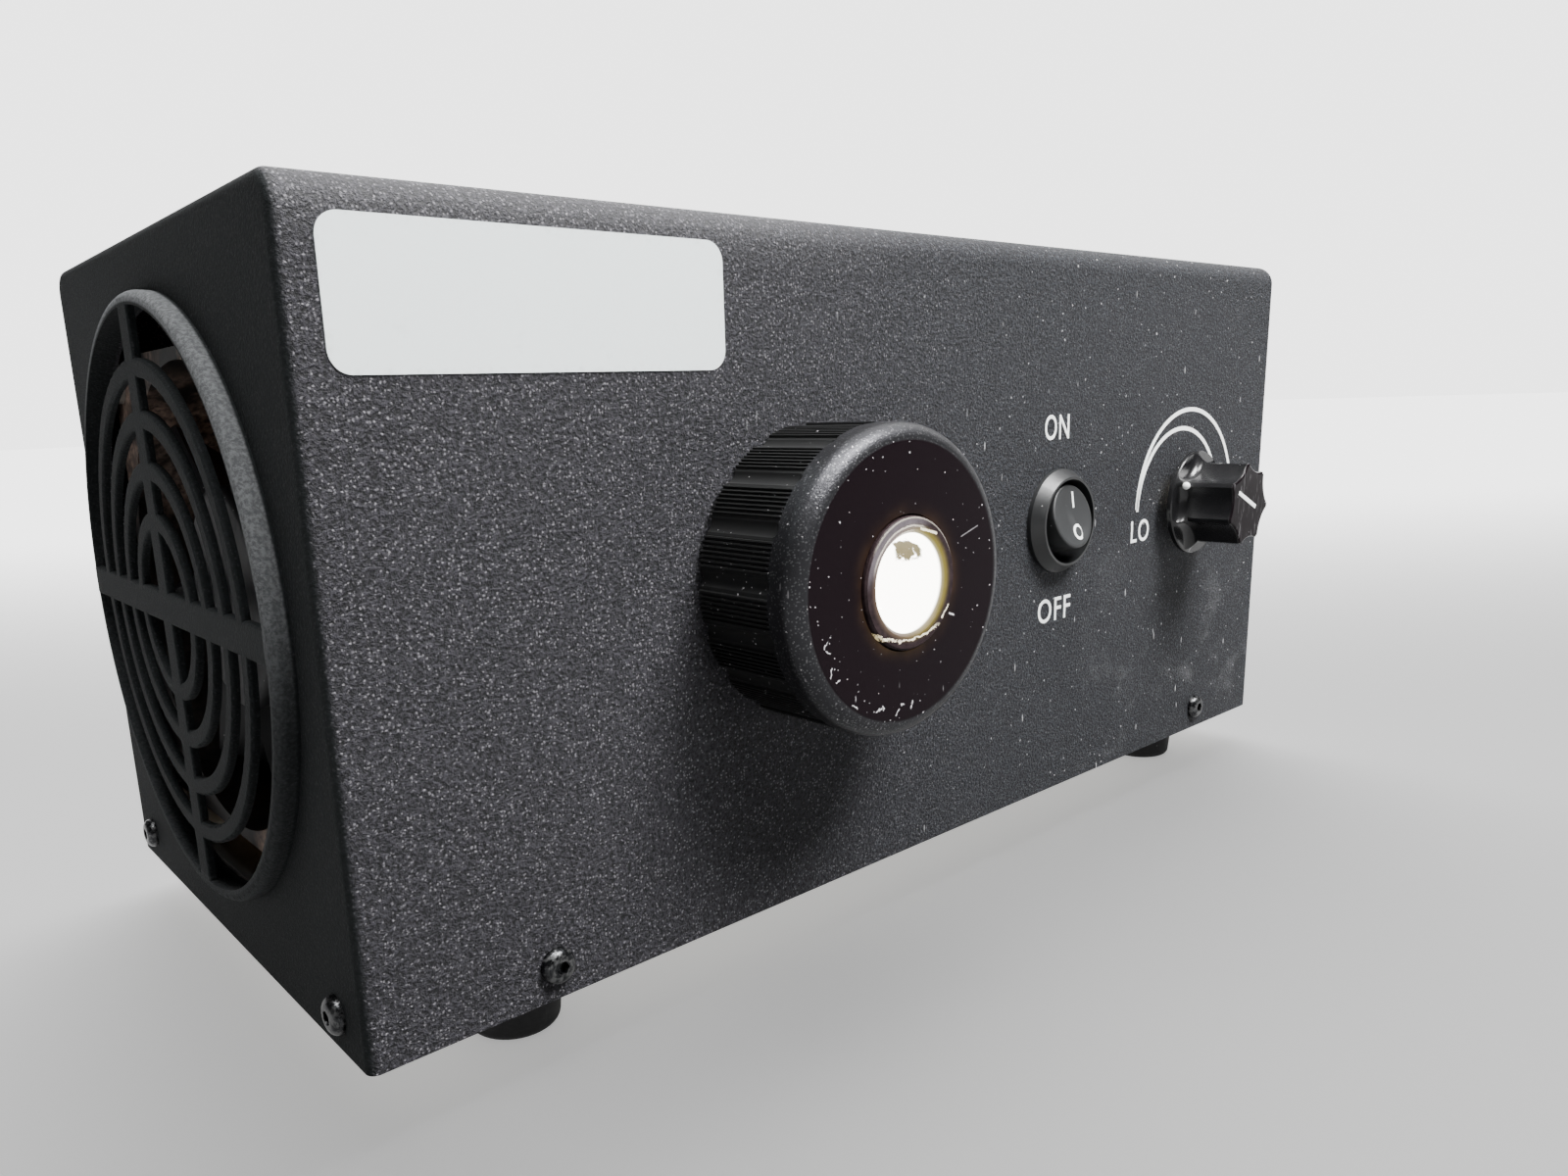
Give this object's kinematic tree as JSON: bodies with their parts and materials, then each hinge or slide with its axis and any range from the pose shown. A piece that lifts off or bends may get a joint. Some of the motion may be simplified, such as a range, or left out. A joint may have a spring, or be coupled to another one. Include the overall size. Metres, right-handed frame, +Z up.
{
  "type": "fiber optic illuminator",
  "caption": "Benchtop halogen light source in a sheet steel case, with a clamp knob for a fiber light guide, a round rocker switch, a dimmer knob and a fan behind a drawn guard.",
  "frame": {"origin": "on the bench under the middle of the overall box", "axes": "+Z up, -Y out of the front panel towards the user, +X to the user's right"},
  "size_m": [0.2556, 0.1408, 0.1238],
  "materials": {
    "powder_coat": "dark grey-black textured powder coat, fine leather grain",
    "zinc_steel": "zinc plated sheet steel",
    "label_vinyl": "white vinyl label, left blank",
    "foot_rubber": "matte black moulded rubber",
    "black_screw": "black oxide steel, slightly shiny",
    "zinc_screw": "bright zinc plated steel",
    "black_alloy": "black anodised aluminium",
    "knob_plastic": "black moulded phenolic, satin, with a smooth face",
    "dimmer_plastic": "glossy black moulded plastic",
    "switch_plastic": "satin black moulded nylon",
    "white_nylon": "natural nylon",
    "spring_steel": "spring steel",
    "lamp_glass": "clear dichroic coated glass",
    "filter_glass": "pale green heat absorbing glass",
    "ceramic": "unglazed white ceramic",
    "plated_contact": "nickel plated brass",
    "bare_aluminium": "mill finish aluminium",
    "fan_plastic": "black glass filled plastic",
    "laminated_steel": "varnished transformer laminations",
    "copper_coil": "enamelled copper winding under clear tape",
    "sintered_bronze": "oiled sintered bronze",
    "circuit_board": "green solder mask",
    "blue_plastic": "blue moulded case",
    "wire_cover": "silicone insulated lead"
  },
  "bodies": {
    "case": {"cover": "powder_coat", "base_plate": "zinc_steel", "front_label": "label_vinyl", "rubber_feet": "foot_rubber", "foot_screws": "zinc_screw", "foot_nuts": "zinc_screw", "cover_screws": "black_screw", "nose_tube": "black_alloy", "nose_nut": "black_alloy", "heat_glass": "filter_glass", "glass_retainer": "black_alloy", "lamp_reflector": "lamp_glass", "lamp_capsule": "lamp_glass", "lamp_base": "ceramic", "lamp_socket": "ceramic", "socket_screws": "zinc_screw", "socket_bracket": "bare_aluminium", "lamp_holder": "bare_aluminium", "lamp_clips": "spring_steel", "clip_screws": "zinc_screw", "bracket_screws": "zinc_screw", "heat_shield": "bare_aluminium", "thermal_cutout": "bare_aluminium", "fan_frame": "fan_plastic", "fan_bearing": "sintered_bronze", "fan_stator": "copper_coil", "fan_bracket": "bare_aluminium", "fan_screws": "zinc_screw", "fan_nuts": "zinc_screw", "switch_housing": "switch_plastic", "switch_terminals": "plated_contact", "potentiometer": "bare_aluminium", "bushing_nut": "plated_contact", "transformer_core": "laminated_steel", "transformer_coil": "copper_coil", "transformer_brackets": "zinc_steel", "core_rivets": "zinc_screw", "dimmer_board": "circuit_board", "board_standoffs": "plated_contact", "board_screws": "zinc_screw", "triac_heatsink": "bare_aluminium", "filter_choke": "copper_coil", "film_capacitor": "blue_plastic", "terminal_block": "blue_plastic", "inlet_body": "switch_plastic", "inlet_blades": "plated_contact", "inlet_screws": "black_screw", "wiring_leads": "wire_cover"},
    "guide_clamp": {"guide_collet": "black_alloy", "thrust_washer": "white_nylon"},
    "clamp_knob": {"clamp_knob": "knob_plastic", "retaining_clip": "spring_steel"},
    "fan_rotor": {"fan_impeller": "fan_plastic", "fan_shaft": "spring_steel"},
    "power_rocker": {"switch_rocker": "switch_plastic"},
    "dimmer": {"dimmer_knob": "dimmer_plastic", "dimmer_shaft": "bare_aluminium", "dimmer_set_screw": "black_screw"},
    "fuse_carrier": {"fuse_drawer": "switch_plastic", "fuses": "lamp_glass"}
  },
  "joints": [
    {"name": "clamp_travel", "type": "slide", "parent": "case", "child": "guide_clamp", "axis": [0, -1, 0], "range_m": [0, 0.002]},
    {"name": "clamp_turn", "type": "hinge", "parent": "guide_clamp", "child": "clamp_knob", "pos_m": [-0.04113, -0.059, 0.0673], "axis": [0, -1, 0], "range_deg": [0, 360]},
    {"name": "fan_spin", "type": "hinge", "parent": "case", "child": "fan_rotor", "pos_m": [-0.105, 0.0089, 0.0671], "axis": [1, 0, 0], "continuous": true},
    {"name": "rocker_tilt", "type": "hinge", "parent": "case", "child": "power_rocker", "pos_m": [0.03238, -0.0471, 0.0687], "axis": [1, 0, 0], "range_deg": [0, 28]},
    {"name": "dimmer_turn", "type": "hinge", "parent": "case", "child": "dimmer", "pos_m": [0.08518, -0.058, 0.0683], "axis": [0, 1, 0], "range_deg": [-76, 194]},
    {"name": "fuse_slide", "type": "slide", "parent": "case", "child": "fuse_carrier", "axis": [0, 1, 0], "range_m": [0, 0.018]}
  ],
  "couplings": [
    {"joint": "clamp_travel", "follows": "clamp_turn", "m_per_rad": 0.0003183}
  ]
}
